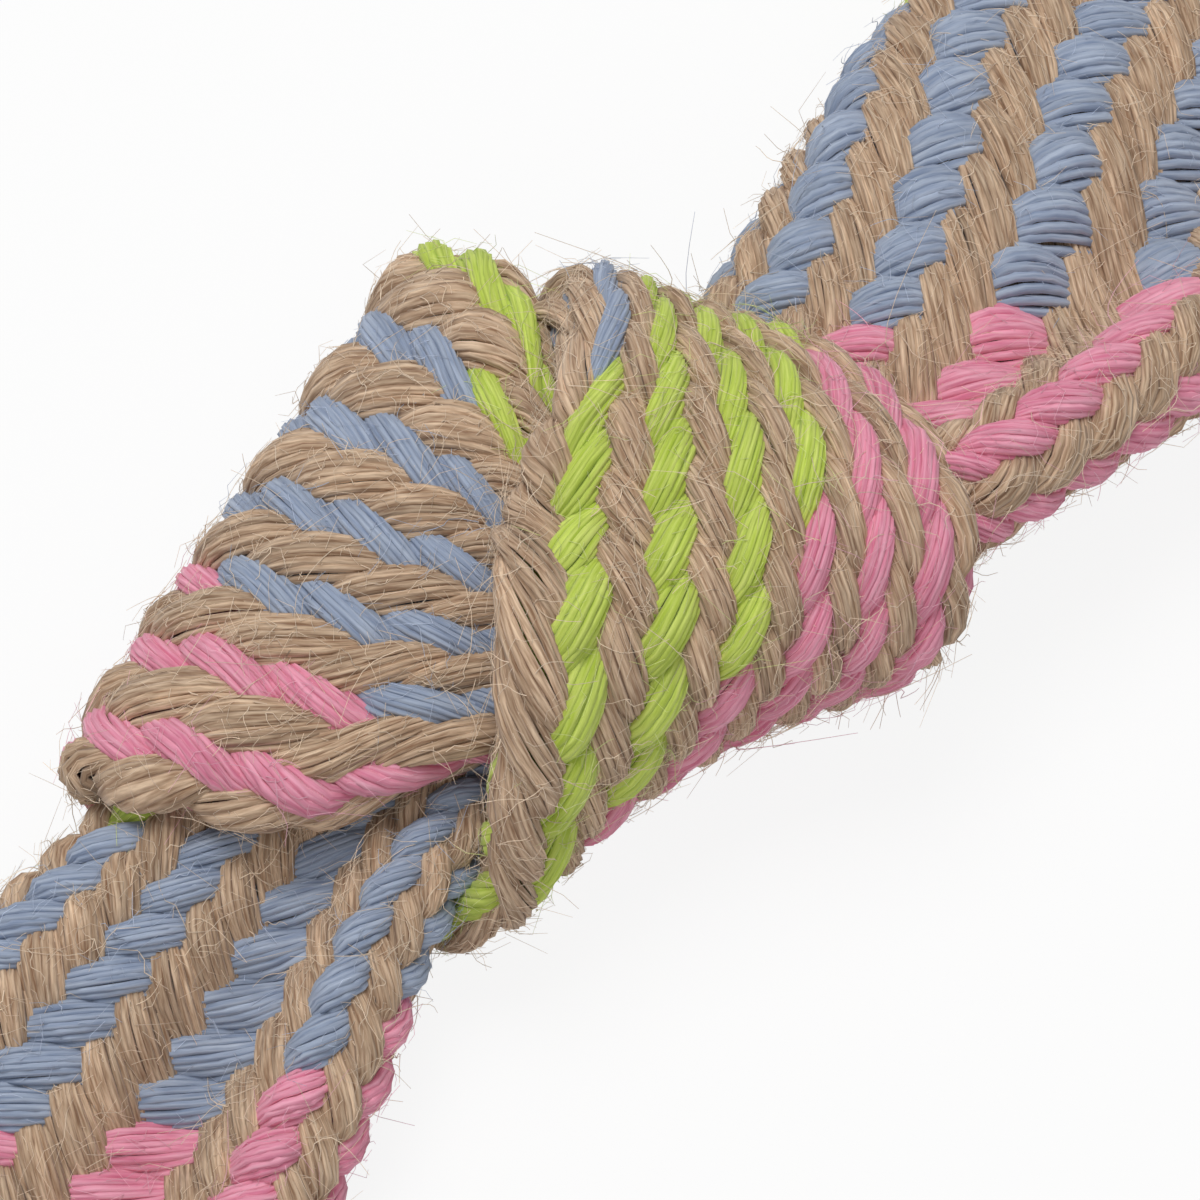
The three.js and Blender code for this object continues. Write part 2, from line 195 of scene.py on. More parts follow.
# %% Both halves
COLUMNS = [
    "x", "y", "z", "face_x", "face_y", "face_z", "wide", "thick", "cup",
    "count", "turn", "crowd", "lean", "cover", "hem", "valley", "valley_at",
]
CENTRE, FACE = slice(0, 3), slice(3, 6)
FIRST_MEASURE = COLUMNS.index("wide")
COUNTED = [COLUMNS.index(name) for name in ("count", "turn", "valley_at")]
TURNED = COUNTED + [COLUMNS.index(name) for name in ("x", "y", "face_x", "face_y", "lean")]

station_numbers = np.arange(len(ROUTE))
valleys = [np.interp(station_numbers, VALLEYS[:, 0], VALLEYS[:, column]) for column in (1, 2)]
half = np.column_stack([ROUTE, BRAID, *valleys])
signs = np.ones(len(COLUMNS))
signs[TURNED] = -1
other_half = half[:0:-1] * signs
other_half[:, COUNTED] += 2 * half[MIDDLE, COUNTED]
stations = np.vstack([other_half, half])
middle_station = len(other_half)
print("stations of both halves", len(stations), "the middle of the toy is number", middle_station)

# %% [markdown]
# ## A smooth line through the stations
#
# Between the stations every column follows a Catmull-Rom curve, which passes through each of its points. The
# sections stand square to the line: the face is made square to the way that the rope runs, and the
# third direction follows from the other two. The distance along the rope is kept as well, because the later
# cells find their places by it.

# %% A smooth line through the stations
STEPS = 40                # between two stations


def smooth(rows):
    """Catmull-Rom samples through the rows, with both ends carried on straight."""
    rows = np.vstack([2 * rows[0] - rows[1], rows, 2 * rows[-1] - rows[-2]])
    t = np.linspace(0, 1, STEPS, endpoint=False)[:, None]
    spans = []
    for a, b, c, d in zip(rows, rows[1:], rows[2:], rows[3:]):
        slope = (c - a) * t
        bend = (2 * a - 5 * b + 4 * c - d) * t ** 2
        swing = (3 * b - a - 3 * c + d) * t ** 3
        spans.append(b + (slope + bend + swing) / 2)
    return np.vstack(spans + [rows[-2:-1]])


def unit(vectors):
    """The same directions, with a length of one."""
    return vectors / np.linalg.norm(vectors, axis=-1, keepdims=True)


line = smooth(stations)
at = line[:, CENTRE]
step_length = np.linalg.norm(np.diff(at, axis=0), axis=1)
distance = np.concatenate([[0], np.cumsum(step_length)])
distance -= distance[middle_station * STEPS]
along = unit(np.gradient(at, distance, axis=0))
face = line[:, FACE] - np.sum(line[:, FACE] * along, axis=1, keepdims=True) * along
face = unit(face)
rope = {"at": at, "along": along, "face": face, "right": np.cross(along, face)}
for number, name in enumerate(COLUMNS[FIRST_MEASURE:], start=FIRST_MEASURE):
    rope[name] = line[:, number]
rope["wide"] = rope["wide"] * ROPE_WIDTH
rope["thick"] = rope["thick"] * ROPE_THICK


def station_distance(station, end):
    """How far along the rope a station lies: the half at +X counts down from the middle."""
    found = np.interp(middle_station + station, np.arange(len(line)) / STEPS, distance)
    return found if end == "a" else -found


def rope_at(where):
    """The rope's centre, directions and sizes at distances along it."""
    here = {}
    for name, column in rope.items():
        if column.ndim == 1:
            here[name] = np.interp(where, distance, column)
        else:
            here[name] = np.stack([np.interp(where, distance, axis) for axis in column.T], axis=-1)
    return here


print("rope between the tassels", round(2 * station_distance(TASSEL, "a"), 3), "m")

# %% [markdown]
# ## The sleeve
#
# The braid is a sleeve, so a point on it is given by a distance along the rope and a share of the way
# round it, from the left edge over the face to the right edge and back underneath. The section is a flat
# oval, bent across its width where the knot cups the rope. Crowding and leaning move the strands round it,
# and the valley is a dip that is pressed into it.

# %% The sleeve
NEAR = 0.002              # a small share of the way round, to find which way is outwards
STRAIGHT = 1e-3           # a cupping this small would divide by nought
VALLEY_NARROWNESS = 13


def section(share, wide, thick, cup):
    """A point of the section, across the rope and out of its face."""
    radius = thick / 2
    flat = wide - thick
    quarter = np.pi * radius / 2
    run = (share % 1) * (2 * flat + 4 * quarter)
    mirrored = run > flat + 2 * quarter
    run = np.where(mirrored, run - flat - 2 * quarter, run)
    first_edge = np.pi - run / radius
    last_edge = np.pi / 2 - (run - quarter - flat) / radius
    on_first = run < quarter
    on_last = run > quarter + flat
    across = np.where(on_first, -flat / 2 + radius * np.cos(first_edge), run - quarter - flat / 2)
    across = np.where(on_last, flat / 2 + radius * np.cos(last_edge), across)
    out = np.where(on_first, radius * np.sin(first_edge), radius)
    out = np.where(on_last, radius * np.sin(last_edge), out)
    across = np.where(mirrored, -across, across)
    out = np.where(mirrored, -out, out)
    cup = np.where(np.abs(cup) < STRAIGHT, STRAIGHT, cup)
    swing = np.sin(cup * across)
    return swing / cup + out * swing, (np.cos(cup * across) - 1) / cup + out * np.cos(cup * across)


def on_sleeve(here, share, inset):
    """Points of the sleeve, an inset below the rope's outline, and the way outwards at them."""
    round_it = 2 * np.pi * share
    share = share + here["crowd"] * np.cos(round_it) + here["lean"] * np.sin(round_it)
    size = (here["wide"] - 2 * inset, here["thick"] - 2 * inset, here["cup"])
    across, out = section(share, *size)
    next_across, next_out = section(share + NEAR, *size)
    run = np.hypot(next_across - across, next_out - out)
    tilt_across = (out - next_out) / run
    tilt_out = (next_across - across) / run
    points = here["at"] + across[..., None] * here["right"] + out[..., None] * here["face"]
    outwards = tilt_across[..., None] * here["right"] + tilt_out[..., None] * here["face"]
    from_valley = 2 * np.pi * (share - here["valley_at"])
    dip = here["valley"] * np.exp(VALLEY_NARROWNESS * (np.cos(from_valley) - 1))
    return points - outwards * dip[..., None], outwards


print("sleeve in the middle", round(ROPE_WIDTH - 2 * SKIN, 4), "by", round(ROPE_THICK - 2 * SKIN, 4), "m")

# %% [markdown]
# ## The yarns of a strand
#
# A braid could be a bump map, but at this distance every yarn shows, so each one is a tube. Its centre line
# goes round the sleeve as the rope runs on. It rises and sinks in a wave that is flat on top, because a
# strand lies straight over two others before it dives, and its outer yarns dive a little sooner, which rounds
# the ends. Hemp and cotton share one wave with opposite signs, so where one is up the other is down.
# Small seeded swings keep the yarns from looking machine-made.

# %% The yarns of a strand
SEED = 7
WAVE_FLATNESS = 1.2
SPREAD_ON_TOP = 0.2       # a strand is wider where it lies on top
ROUND_ENDS = 0.3          # the outer yarns of a strand dive sooner than its middle ones
EDGE_NARROWNESS = 50      # how close to the left edge the hemp is pulled over
SLOW_SWING = 0.021        # wavelengths of the small swings, along the rope
QUICK_SWING = 0.0083
QUICK_SHARE = 0.6         # height of the quick swing over that of the slow one
LOOSENESS = {"hemp": 0.028, "cotton": 0.02}     # how far a yarn swings, in strands
UNEVENNESS = {"hemp": 0.1, "cotton": 0.04}      # how much the tints of the yarns differ
THIN_YARN, THICK_YARN = 0.0003, 0.001           # limits of half a yarn's width
LOWEST_YARN = 0.0007      # the least height of a yarn's middle over the floor, which presses the rope flat
COTTON, HEMP = 1, -1      # which way round the strands go
DYES = {"pink": 0, "blue": 8, "green": 16}      # the first strand of each colour
DYED_STRANDS = 8

rng = np.random.default_rng(SEED)
ring_count = int(np.ptp(distance) / RING_STEP)
rings = np.linspace(distance[0], distance[-1], ring_count)
along_rings = rope_at(rings)


def yarns_of(numbers, way, looseness, unevenness):
    """The yarns of these strands along the whole rope: centres, directions, half widths and tints."""
    count = len(numbers) * YARNS
    number = np.repeat(numbers, YARNS)[:, None]
    place = np.tile(np.linspace(-0.5, 0.5, YARNS), len(numbers))[:, None]
    offset = place * STRAND_SHARE
    phase = rng.uniform(0, 2 * np.pi, (3, count, 1))
    middle = number + way * along_rings["count"] + along_rings["turn"]
    crossing = 2 * number + 2 * way * along_rings["count"] + offset
    from_edge = middle / STRANDS + along_rings["crowd"]
    edge = ((1 + np.cos(2 * np.pi * from_edge)) / 2) ** EDGE_NARROWNESS
    cover = along_rings["cover"] + along_rings["hem"] * edge
    rounded = way * ROUND_ENDS * (2 * place) ** 2
    wave = np.tanh(WAVE_FLATNESS * (np.cos(np.pi * (crossing - 0.5) / 2) - cover - rounded))
    height = way * wave / np.tanh(WAVE_FLATNESS)
    swing = np.sin(2 * np.pi * rings / SLOW_SWING + phase[0])
    swing = swing + QUICK_SHARE * np.sin(2 * np.pi * rings / QUICK_SWING + phase[1])
    share = (middle + offset * (1 + SPREAD_ON_TOP * height) + looseness * swing) / STRANDS
    points, outwards = on_sleeve(along_rings, share, SKIN)
    arch = ARCH * (2 * place) ** 2 * (1 + height) / 2
    bob = 1 + looseness * np.sin(2 * np.pi * rings / SLOW_SWING + phase[2])
    lift = (RISE * height * bob - arch)[..., None]
    centres = points + outwards * lift
    centres[..., 2] = np.maximum(centres[..., 2], LOWEST_YARN)
    runs = unit(np.gradient(centres, axis=1))
    sideways = unit(np.cross(outwards, runs))
    next_share = share + STRAND_SHARE / (YARNS - 1) / STRANDS
    beside, beside_outwards = on_sleeve(along_rings, next_share, SKIN)
    to_next = beside + beside_outwards * lift - points - outwards * lift
    room = np.abs(np.sum(to_next * sideways, axis=-1))
    return {
        "centres": centres,
        "runs": runs,
        "sideways": sideways,
        "outwards": unit(np.cross(runs, sideways)),
        "half_width": np.clip(room * YARN_OVERLAP / 2, THIN_YARN, THICK_YARN),
        "height": height,
        "tint": rng.normal(1, unevenness, count),
    }


strands = {"hemp": yarns_of(np.arange(STRANDS), HEMP, LOOSENESS["hemp"], UNEVENNESS["hemp"])}
for dye, first in DYES.items():
    dyed = np.arange(first, first + DYED_STRANDS)
    strands[dye] = yarns_of(dyed, COTTON, LOOSENESS["cotton"], UNEVENNESS["cotton"])
print("rings along the rope", ring_count)
print("yarns", {colour: len(yarn["tint"]) for colour, yarn in strands.items()})

# %% [markdown]
# ## Tubes in one mesh
#
# Thousands of separate curves would be slow, so the yarns of one colour in one stretch become one mesh. Its
# points come straight from arrays, ring by ring. Each point also keeps two attributes for its material: a
# tint for its yarn, and its place along and round the yarn, so that fibres can run along it.

# %% Tubes in one mesh
MILLIMETRES = 1000        # in a metre, the unit of the fibres' pattern


def mesh_of(name, points, faces, attributes):
    """A smooth-shaded object with point attributes, which are vectors."""
    mesh = bpy.data.meshes.new(name)
    mesh.from_pydata(points.reshape(-1, 3).tolist(), [], faces.tolist())
    for label, values in attributes.items():
        kept = mesh.attributes.new(label, "FLOAT_VECTOR", "POINT")
        kept.data.foreach_set("vector", np.ascontiguousarray(values, dtype=np.float32).ravel())
    mesh.shade_smooth()
    made = bpy.data.objects.new(name, mesh)
    bpy.context.collection.objects.link(made)
    return made


def tubes(name, centres, sideways, outwards, half_width, half_height, tint, sides=YARN_SIDES):
    """One mesh of tubes, one for each row of centres; the seam lies underneath."""
    count, length = centres.shape[:2]
    angle = 2 * np.pi * np.arange(sides) / sides - np.pi / 2
    to_side = (half_width[..., None] * np.cos(angle))[..., None]
    to_top = (half_height[..., None] * np.sin(angle))[..., None]
    points = centres[:, :, None] + sideways[:, :, None] * to_side + outwards[:, :, None] * to_top
    shape = (count, length, sides)
    corner = np.arange(count * length * sides).reshape(shape)
    beside = np.roll(corner, -1, axis=2)
    faces = np.stack([corner[:, :-1], beside[:, :-1], beside[:, 1:], corner[:, 1:]], axis=-1)
    step = np.linalg.norm(np.diff(centres, axis=1), axis=-1)
    run = np.concatenate([np.zeros((count, 1)), np.cumsum(step, axis=1)], axis=1)
    fibre = np.stack([
        np.broadcast_to(run[..., None] * MILLIMETRES, shape),
        np.broadcast_to(np.arange(sides) / sides, shape),
        np.broadcast_to(np.arange(count)[:, None, None], shape),
    ], axis=-1)
    tint = tint.reshape(count, 1, 1, -1)     # one grey value or a colour for each tube
    tints = np.broadcast_to(tint, shape + (3,))
    return mesh_of(name, points, faces.reshape(-1, 4), {"tint": tints, "fibre": fibre})


print("faces per yarn and ring", YARN_SIDES)

# %% [markdown]
# ## Hemp and cotton
#
# Both are matte and fibrous. The colour comes from a noise texture that is stretched along the yarn, so it
# reads as fibres, between a darker and a lighter shade of the dye; the same noise gives a slight bump. A
# little sheen stands in for the down that is too fine to model. Hemp has coarser and more uneven fibres than
# cotton.

# %% Hemp and cotton
ROUGHNESS = 0.95
SHINE = 0.1
SHEEN_ROUGHNESS = 0.6
FIBRE_DETAIL = 3          # finer and finer layers of the noise
DARK_BELOW, LIGHT_ABOVE = 0.3, 0.7    # values of the noise
BUMP_HEIGHT = 0.0002
COTTON_FIBRES = (0.25, 7, 3.7)        # steps of the noise along a yarn, round it and from yarn to yarn
HEMP_FIBRES = (0.35, 9, 5.3)
SCREEN_WHITE = 255
SRGB_STRAIGHT, SRGB_SLOPE = 0.04045, 12.92
SRGB_OFFSET, SRGB_POWER = 0.055, 2.4


def linear(*screen_colour):
    """A colour as seen on a screen, 0 to 255, in the shader's own scale."""
    values = []
    for level in screen_colour:
        seen = level / SCREEN_WHITE
        curved = ((seen + SRGB_OFFSET) / (1 + SRGB_OFFSET)) ** SRGB_POWER
        values.append(seen / SRGB_SLOPE if seen < SRGB_STRAIGHT else curved)
    return tuple(values)


def yarn_finish(name, dark, light, fibre_scale, bump, sheen):
    """A material of fibres that run along the yarn."""
    material = bpy.data.materials.new(name)
    material.use_nodes = True
    nodes = material.node_tree.nodes
    link = material.node_tree.links.new
    shader = nodes["Principled BSDF"]
    shader.inputs["Roughness"].default_value = ROUGHNESS
    shader.inputs["Specular IOR Level"].default_value = SHINE
    shader.inputs["Sheen Weight"].default_value = sheen
    shader.inputs["Sheen Roughness"].default_value = SHEEN_ROUGHNESS
    place = nodes.new("ShaderNodeAttribute")
    place.attribute_name = "fibre"
    stretch = nodes.new("ShaderNodeVectorMath")
    stretch.operation = "MULTIPLY"
    stretch.inputs[1].default_value = fibre_scale
    link(place.outputs["Vector"], stretch.inputs[0])
    noise = nodes.new("ShaderNodeTexNoise")
    noise.inputs["Scale"].default_value = 1
    noise.inputs["Detail"].default_value = FIBRE_DETAIL
    link(stretch.outputs["Vector"], noise.inputs["Vector"])
    ramp = nodes.new("ShaderNodeValToRGB")
    ramp.color_ramp.elements[0].position = DARK_BELOW
    ramp.color_ramp.elements[0].color = (*linear(*dark), 1)
    ramp.color_ramp.elements[1].position = LIGHT_ABOVE
    ramp.color_ramp.elements[1].color = (*linear(*light), 1)
    link(noise.outputs["Fac"], ramp.inputs["Fac"])
    tint = nodes.new("ShaderNodeAttribute")
    tint.attribute_name = "tint"
    dyed = nodes.new("ShaderNodeMix")
    dyed.data_type = "RGBA"
    dyed.blend_type = "MULTIPLY"
    dyed.inputs["Factor"].default_value = 1
    link(ramp.outputs["Color"], dyed.inputs["A"])
    link(tint.outputs["Color"], dyed.inputs["B"])
    link(dyed.outputs["Result"], shader.inputs["Base Color"])
    ridges = nodes.new("ShaderNodeBump")
    ridges.inputs["Strength"].default_value = bump
    ridges.inputs["Distance"].default_value = BUMP_HEIGHT
    link(noise.outputs["Fac"], ridges.inputs["Height"])
    link(ridges.outputs["Normal"], shader.inputs["Normal"])
    return material


# name | dark shade | light shade | fibres | bump | sheen
finishes = {
    "hemp": yarn_finish("hemp yarn", (140, 107, 81), (226, 199, 170), HEMP_FIBRES, 0.6, 0.2),
    "blue": yarn_finish("blue cotton yarn", (128, 142, 168), (176, 187, 205), COTTON_FIBRES, 0.4, 0.2),
    "green": yarn_finish("green cotton yarn", (170, 193, 64), (212, 226, 120), COTTON_FIBRES, 0.4, 0.2),
    "pink": yarn_finish("pink cotton yarn", (215, 120, 149), (243, 176, 195), COTTON_FIBRES, 0.4, 0.2),
    "twine": yarn_finish("hemp twine", (150, 118, 90), (218, 190, 160), HEMP_FIBRES, 0.7, 0.2),
    # painted shade: the sheet under the strands is hemp darkened for the shadow inside the hollow braid
    "shade_lining": yarn_finish("painted shade inside the braid", (88, 65, 46), (124, 95, 70), HEMP_FIBRES, 0.3, 0),
    # near white, so that the fibres keep their lightened tints, which are partly a painted highlight
    "fibre": yarn_finish("loose fibre", (242, 242, 242), (255, 255, 255), HEMP_FIBRES, 0, 0.3),
}
print("finishes", ", ".join(finishes))

# %% [markdown]
# ## Stretches of rope and what they ride on
#
# The frame's bodies meet at eight joints. A stretch of braid inside one body rides on it, and a stretch that
# crosses a joint stays where it is and rides on no body. Each stretch names the solids that it stands for.

# %% Stretches of rope and what they ride on
BRAID_END = TASSEL - 0.2  # the strands are unpicked a little before the tassel's station


def stretches_of(end):
    """Name, first and last station, bodies, the bend's station, and the solids that the stretch replaces."""
    strap, knot, tail = f"strap_{end}", f"knot_{end}", f"tail_{end}"
    return [
        ("middle", MIDDLE, STRAP, ("strap_middle", strap), BEND, ["strap_middle", strap]),
        ("entry", STRAP, UNDER_WRAP, (strap, knot), ENTRY, [f"{knot}_entry"]),
        ("turn", UNDER_WRAP, LOW_FOLD, (knot,), None, [f"{knot}_side_turn", f"{knot}_back_pass"]),
        ("wrap", LOW_FOLD, TUCK, (knot,), None, [f"{knot}_front_wrap"]),
        ("exit", TUCK, TAIL, (knot, tail), TAIL_BEND, [f"{knot}_tuck"]),
        ("tail", TAIL, BRAID_END, (tail,), None, [tail]),
    ]


def carry(piece, bodies, bend):
    """Ride on the one body, or stay in place where the stretch crosses a bend."""
    if bend is None:
        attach(piece, bodies[0])
        return
    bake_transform(piece)


def rings_between(first, last, end):
    """The rings of a stretch, as a slice; neighbouring stretches share one ring."""
    found = sorted(np.searchsorted(rings, [station_distance(s, end) for s in (first, last)]))
    return slice(found[0], found[1] + 1)


print("stretches", 2 * len(stretches_of("a")))

# %% [markdown]
# ## Braiding the rope
#
# With the yarns worked out for the whole rope, a stretch is a slice of them. One object per colour keeps the
# finishes apart. Under the strands lies a dark sheet, the far inside of the sleeve that one sees between
# them; it is hemp darkened as painted shade, the shadow inside the hollow braid.

# %% Braiding the rope
SHADE_LINING_GAP = 0.0004       # below the middle of the lowest yarns
SHADE_LINING_INSET = SKIN + RISE + SHADE_LINING_GAP
SHADE_LINING_SIDES = 56
SHADE_LINING_SKIP = 2           # the lining needs only every second ring


def shade_lining(name, part):
    """The inside of the sleeve along these rings, the sheet that carries the painted shade."""
    last = part.stop - 1
    chosen = np.unique(np.append(np.arange(part.start, last, SHADE_LINING_SKIP), last))
    here = {key: value[chosen][:, None] for key, value in along_rings.items()}
    share = np.arange(SHADE_LINING_SIDES)[None, :] / SHADE_LINING_SIDES
    points, _ = on_sleeve(here, np.repeat(share, len(chosen), axis=0), SHADE_LINING_INSET)
    corner = np.arange(points.shape[0] * SHADE_LINING_SIDES).reshape(-1, SHADE_LINING_SIDES)
    beside = np.roll(corner, -1, axis=1)
    faces = np.stack([corner[:-1], corner[1:], beside[1:], beside[:-1]], axis=-1).reshape(-1, 4)
    fibre = points.reshape(-1, 3) * MILLIMETRES
    return mesh_of(name, points, faces, {"tint": np.ones_like(fibre), "fibre": fibre})


def dress(piece, finish):
    """Give a piece its finish."""
    piece.data.materials.append(finishes[finish])


for end in "ab":
    for name, first, last, bodies, bend, solids in stretches_of(end):
        part = rings_between(first, last, end)
        for colour, yarn in strands.items():
            lines = [yarn[key][:, part] for key in ("centres", "sideways", "outwards")]
            half_width = yarn["half_width"][:, part]
            half_height = np.full_like(half_width, YARN_HEIGHT)
            piece = tubes(f"{name}_{end}_{colour}", *lines, half_width, half_height, yarn["tint"])
            dress(piece, colour)
            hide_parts(*solids)
            carry(piece, bodies, bend)
        inside = shade_lining(f"{name}_{end}_lining", part)
        dress(inside, "shade_lining")
        carry(inside, bodies, bend)
        print(name, end, "rings", part.stop - part.start)

# %% [markdown]
# ## Loose fibres
#
# Hemp sheds: a short down covers every strand, and longer hairs lie over the rope and curl off its edges.
# Blender's hair would be lost when the model is exported, so each fibre is a thin three-sided tube. It starts
# on a yarn, leaves along it, and curls up and away. Most are hemp, and a few have the colour of the cotton
# that they come from.

# %% Loose fibres
# Paler than their yarns: partly the fibres' own paleness, partly a painted highlight that lightens the thin
# tubes past the shade on their sides.
FIBRE_COLOURS_AND_HIGHLIGHT = {
    "hemp": linear(240, 218, 192),
    "pink": linear(246, 188, 206),
    "blue": linear(192, 204, 226),
    "green": linear(222, 234, 150),
}
FIBRES = {
    "down": {
        "per_metre": {"hemp": 100000, "pink": 18000, "blue": 18000, "green": 18000},
        "length": 0.0019, "spread": 0.9, "lift": 0.24, "curl": 0.4, "rings": 3, "radius": 0.00003,
    },
    "hairs": {
        "per_metre": {"hemp": 36000, "pink": 1500, "blue": 1500, "green": 1500},
        "length": 0.0027, "spread": 1.2, "lift": 0.1, "curl": 0.6, "rings": 7, "radius": 0.000046,
    },
}
LOWEST_FIBRE = 0.0003
LOWEST_ROOT = -0.2        # in a yarn's wave from -1 to 1; where it sinks lower, it has no fibres
LIFT_SHAPE = 1.4          # of the gamma spread: most fibres lie flat and a few stand up
LENGTH_SPREAD = 0.5
SHORTEST, LONGEST = 0.4, 2            # times the usual length
DROOP = 0.9               # how far a fibre comes back to the rope that it left
WAVE = 0.09               # of a fibre's length, how far it sways to both sides
WAVE_TURN = (3, 11)       # how far the sway turns along a fibre, least and most, in radians
SHADE_SPREAD = 0.12
FIBRE_SIDES = 3
FIBRE_TIP = 0.5           # of the thickness at its root


def fibre_lines(colour, part, count, kind):
    """Centre lines of loose fibres that start on the yarns of one colour along these rings."""
    yarn = strands[colour]
    picked = rng.integers(0, len(yarn["tint"]), count)
    ring = rng.integers(part.start, part.stop, count)
    on_top = yarn["height"][picked, ring] > LOWEST_ROOT
    picked, ring = picked[on_top], ring[on_top]
    count = len(picked)
    runs, sideways, outwards = [yarn[way][picked, ring][:, None] for way in ("runs", "sideways", "outwards")]
    root = yarn["centres"][picked, ring][:, None] + outwards * YARN_HEIGHT
    heading = rng.normal(0, kind["spread"], (count, 1, 1)) + np.pi * rng.integers(0, 2, (count, 1, 1))
    ahead = runs * np.cos(heading) + sideways * np.sin(heading)
    aside = sideways * np.cos(heading) - runs * np.sin(heading)
    lift = rng.gamma(LIFT_SHAPE, kind["lift"], (count, 1, 1))
    longer = np.clip(rng.lognormal(0, LENGTH_SPREAD, (count, 1, 1)), SHORTEST, LONGEST)
    curl, hook = rng.normal(0, kind["curl"], (2, count, 1, 1))
    t = np.linspace(0, 1, kind["rings"])[None, :, None]
    sway = WAVE * np.sin(rng.uniform(*WAVE_TURN, (count, 1, 1)) * t)
    path = ahead * t + aside * (curl * t ** 2 + hook * t ** 3 + sway) + outwards * lift * (t - DROOP * t ** 2)
    centres = root + kind["length"] * longer * path
    centres[..., 2] = np.maximum(centres[..., 2], LOWEST_FIBRE)
    # the fibres' tints, partly a painted highlight
    shade = rng.normal(1, SHADE_SPREAD, (count, 1)) * np.array(FIBRE_COLOURS_AND_HIGHLIGHT[colour])
    return centres, shade


def fibre_mesh(name, thickest, centres, shade):
    """Thin tubes that taper to their tips."""
    runs = unit(np.gradient(centres, axis=1))
    helper = unit(rng.normal(size=(len(centres), 1, 3)))
    sideways = unit(np.cross(runs, helper))
    taper = np.linspace(1, FIBRE_TIP, centres.shape[1])
    radius = thickest * taper[None] * np.ones((len(centres), 1))
    return tubes(name, centres, sideways, np.cross(runs, sideways), radius, radius, shade, sides=FIBRE_SIDES)


for end in "ab":
    for name, first, last, bodies, bend, _ in stretches_of(end):
        part = rings_between(first, last, end)
        metres = rings[part.stop - 1] - rings[part.start]
        for kind, about in FIBRES.items():
            grown = [fibre_lines(colour, part, int(metres * number), about)
                     for colour, number in about["per_metre"].items()]
            lines, shades = [np.concatenate(lot) for lot in zip(*grown)]
            piece = fibre_mesh(f"{name}_{end}_{kind}", about["radius"], lines, shades)
            dress(piece, "fibre")
            carry(piece, bodies, bend)
            print(name, end, kind, len(lines))

# %% [markdown]
# ## Whippings
#
# A hemp twine is wound five times round each tail, so the braid can't come undone. Twine is three plies that
# turn round each other, so three tubes follow the same coil, each a little off its middle. The coil itself is
# a flat oval that moves on by the thickness of the twine, and a small gap, at each turn.

# %% Whippings
TWINE = 0.002
TWINE_GAP = 0.0004
TWINE_TURNS = 5
TWINE_STAND = 0.0003      # from the rope's outline to the twine
TWINE_STEPS = 90          # per turn
TWINE_UNEVENNESS = 0.05   # how much the tints of the plies differ
PLIES = 3
PLY_OFFSET = 0.00048      # from the middle of the twine to the middle of a ply
PLY_RADIUS = 0.00056
PLY_TIP = 0.2             # of its radius, at both ends
PLY_LAY = 0.0075          # length of twine in which a ply goes round once
PLY_SIDES = 8
HALF_TURN = np.array([-1, -1, 1])     # from the end at -X to the one at +X


def whipping(end):
    """The twine round one tail; gives back its length."""
    turns = np.linspace(0, TWINE_TURNS, TWINE_TURNS * TWINE_STEPS + 1)
    start = station_distance(WHIPPING, "a")
    here = rope_at(start + turns * (TWINE + TWINE_GAP))
    round_tail = TWINE_STAND + TWINE / 2
    widest = rope_at(np.array([start]))["wide"][0] + 2 * round_tail
    across, out = section(turns % 1, widest, ROPE_THICK + 2 * round_tail, 0)
    middle = here["at"] + np.stack([np.zeros_like(across), across, out], axis=-1)
    if end == "b":
        middle = middle * HALF_TURN
    runs = unit(np.gradient(middle, axis=0))
    level = unit(np.cross(runs, np.cross(np.array([1.0, 0, 0]), runs)))
    lift = np.cross(runs, level)
    run = np.concatenate([[0], np.cumsum(np.linalg.norm(np.diff(middle, axis=0), axis=1))])
    lay = 2 * np.pi * (run / PLY_LAY + np.arange(PLIES)[:, None] / PLIES)
    outwards = level * np.cos(lay)[..., None] + lift * np.sin(lay)[..., None]
    centres = middle + outwards * PLY_OFFSET
    ply_runs = unit(np.gradient(centres, axis=1))
    sideways = unit(np.cross(outwards, ply_runs))
    radius = np.full(centres.shape[:2], PLY_RADIUS)
    radius[:, [0, -1]] *= PLY_TIP
    tint = rng.normal(1, TWINE_UNEVENNESS, PLIES)
    piece = tubes(f"whipping_{end}_twine", centres, sideways, np.cross(ply_runs, sideways), radius, radius,
                  tint, sides=PLY_SIDES)
    dress(piece, "twine")
    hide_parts(f"whipping_{end}")
    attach(piece, f"tail_{end}")
    return run[-1]


for end in "ab":
    print("whipping", end, "twine", round(whipping(end), 3), "m")

# %% [markdown]
# ## Tassels
#
# Past the whipping the strands are unpicked. Every yarn of the braid runs on from where its strand ends,
# keeps the small waves that the braid pressed into it, and fans out with its colour: hemp lies below, and
# blue, green and pink side by side on top. A Hermite curve gives each yarn its start, its end and its
# direction at both.

